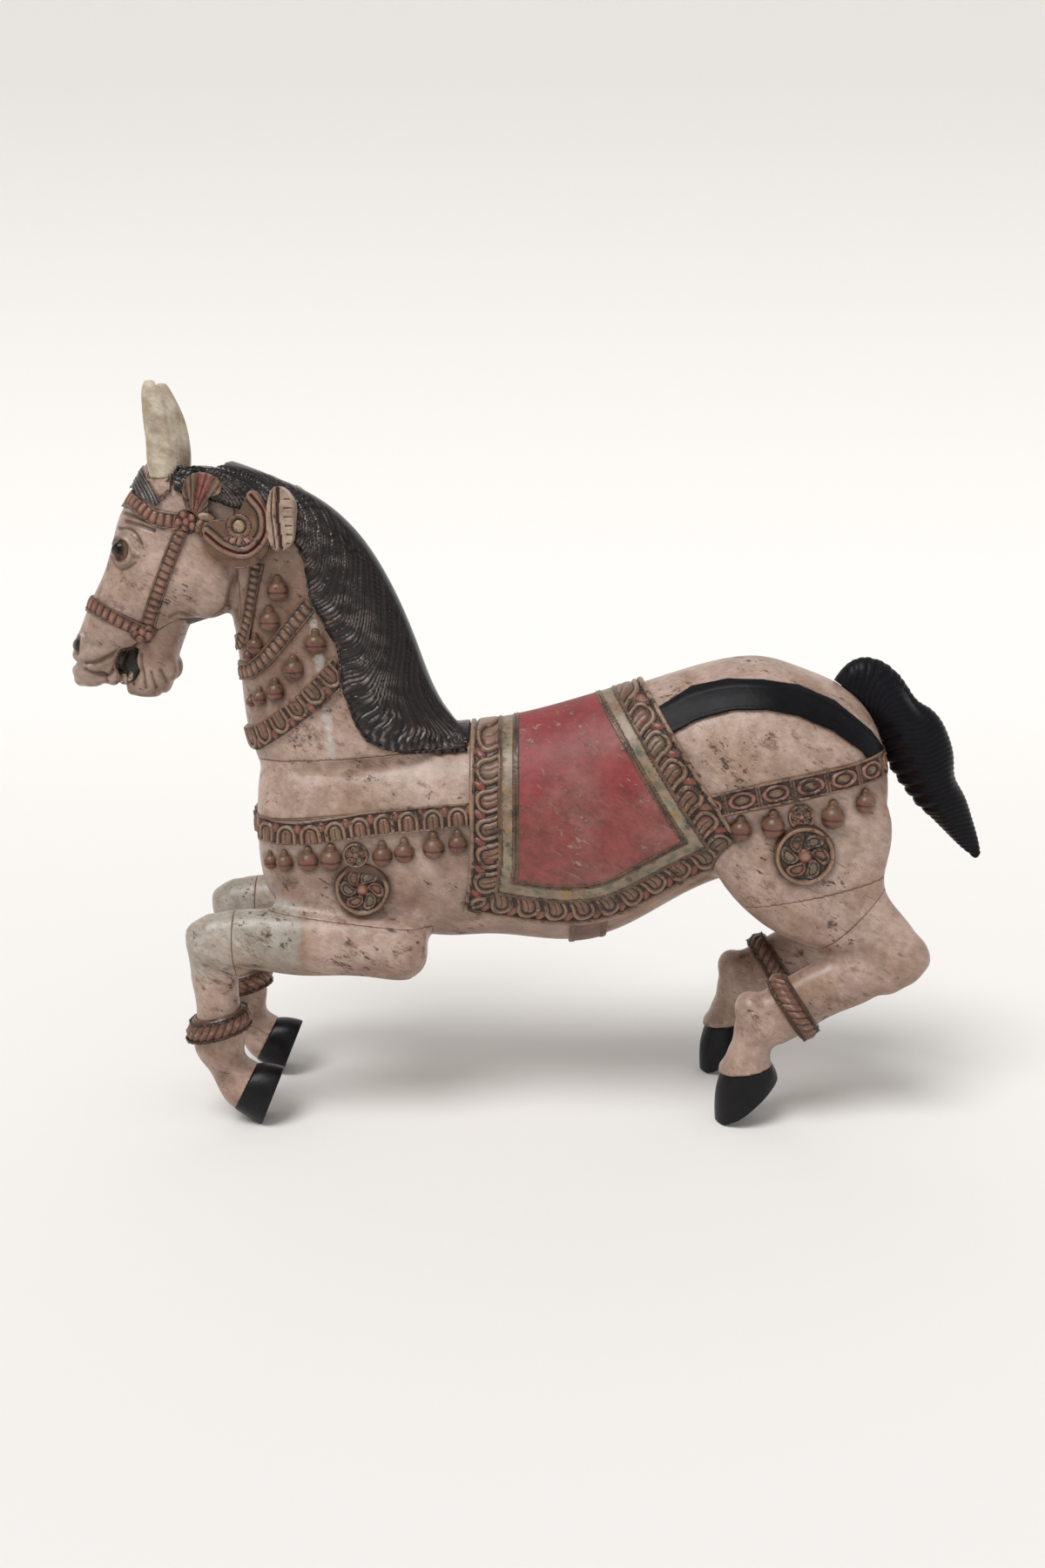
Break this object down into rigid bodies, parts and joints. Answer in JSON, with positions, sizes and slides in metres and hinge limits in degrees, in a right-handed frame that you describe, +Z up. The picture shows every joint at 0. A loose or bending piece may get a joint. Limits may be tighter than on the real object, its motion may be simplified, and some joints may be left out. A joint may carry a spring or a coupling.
{
  "type": "carved wooden horse",
  "caption": "Large carved and painted wooden horse in a galloping pose with carved mane, saddle cloth, bells and bridle, standing on its four toes.",
  "frame": {"origin": "middle of the horse's box, at the height of the toes", "axes": "+Z up, head towards -X, tail towards +X, the horse's left flank at -Y"},
  "size_m": [1.4547, 0.332, 1.155],
  "materials": {
    "pink_cream_paint": "aged pinkish-cream paint on carved wood, rubbed and grimy",
    "black_hair_paint": "black-brown paint on carved strands, slightly glossy",
    "black_hoof_paint": "worn black gloss paint",
    "ochre_ornament_paint": "worn ochre paint with red and green accents",
    "crimson_saddle_paint": "worn crimson paint with pale scuffs",
    "dark_red_paint": "dark red-brown paint",
    "eye_enamel": "gloss black paint",
    "tooth_paint": "off-white paint",
    "bare_dowel_wood": "plain turned hardwood"
  },
  "bodies": {
    "root": {"beaded_collar": "ochre_ornament_paint", "breast_band": "ochre_ornament_paint", "breast_bells": "ochre_ornament_paint", "breeching_band": "ochre_ornament_paint", "breeching_bells": "ochre_ornament_paint", "bridle_rosettes": "ochre_ornament_paint", "brow_fans": "ochre_ornament_paint", "browband": "ochre_ornament_paint", "cheek_straps": "ochre_ornament_paint", "crupper_straps": "black_hoof_paint", "ear_left": "pink_cream_paint", "ear_pegs": "bare_dowel_wood", "ear_right": "pink_cream_paint", "eyes": "eye_enamel", "flank_roundels": "ochre_ornament_paint", "fore_anklet_left": "ochre_ornament_paint", "fore_anklet_right": "ochre_ornament_paint", "fore_hoof_left": "black_hoof_paint", "fore_hoof_right": "black_hoof_paint", "foreleg_lower_left": "pink_cream_paint", "foreleg_lower_right": "pink_cream_paint", "foreleg_upper_left": "pink_cream_paint", "foreleg_upper_right": "pink_cream_paint", "forelock": "black_hair_paint", "girth_strap": "dark_red_paint", "head": "pink_cream_paint", "head_dowels": "bare_dowel_wood", "hind_anklet_left": "ochre_ornament_paint", "hind_anklet_right": "ochre_ornament_paint", "hind_hoof_left": "black_hoof_paint", "hind_hoof_right": "black_hoof_paint", "hind_lower_left": "pink_cream_paint", "hind_lower_right": "pink_cream_paint", "hind_thigh_left": "pink_cream_paint", "hind_thigh_right": "pink_cream_paint", "hip_rosettes": "ochre_ornament_paint", "hock_pegs": "bare_dowel_wood", "hoof_pegs": "bare_dowel_wood", "jaw_peg": "bare_dowel_wood", "knee_pegs": "bare_dowel_wood", "leaf_collar": "ochre_ornament_paint", "lower_jaw": "pink_cream_paint", "lower_teeth": "tooth_paint", "mane": "black_hair_paint", "neck": "pink_cream_paint", "neck_bells": "ochre_ornament_paint", "neck_dowels": "bare_dowel_wood", "noseband": "ochre_ornament_paint", "saddle_cloth": "crimson_saddle_paint", "shoulder_pegs": "bare_dowel_wood", "shoulder_rosettes": "ochre_ornament_paint", "tail": "black_hair_paint", "tail_peg": "bare_dowel_wood", "temple_leaves": "ochre_ornament_paint", "temple_scrolls": "ochre_ornament_paint", "thigh_pegs": "bare_dowel_wood", "throat_strap": "ochre_ornament_paint", "trunk": "pink_cream_paint", "upper_teeth": "tooth_paint"}
  },
  "joints": []
}
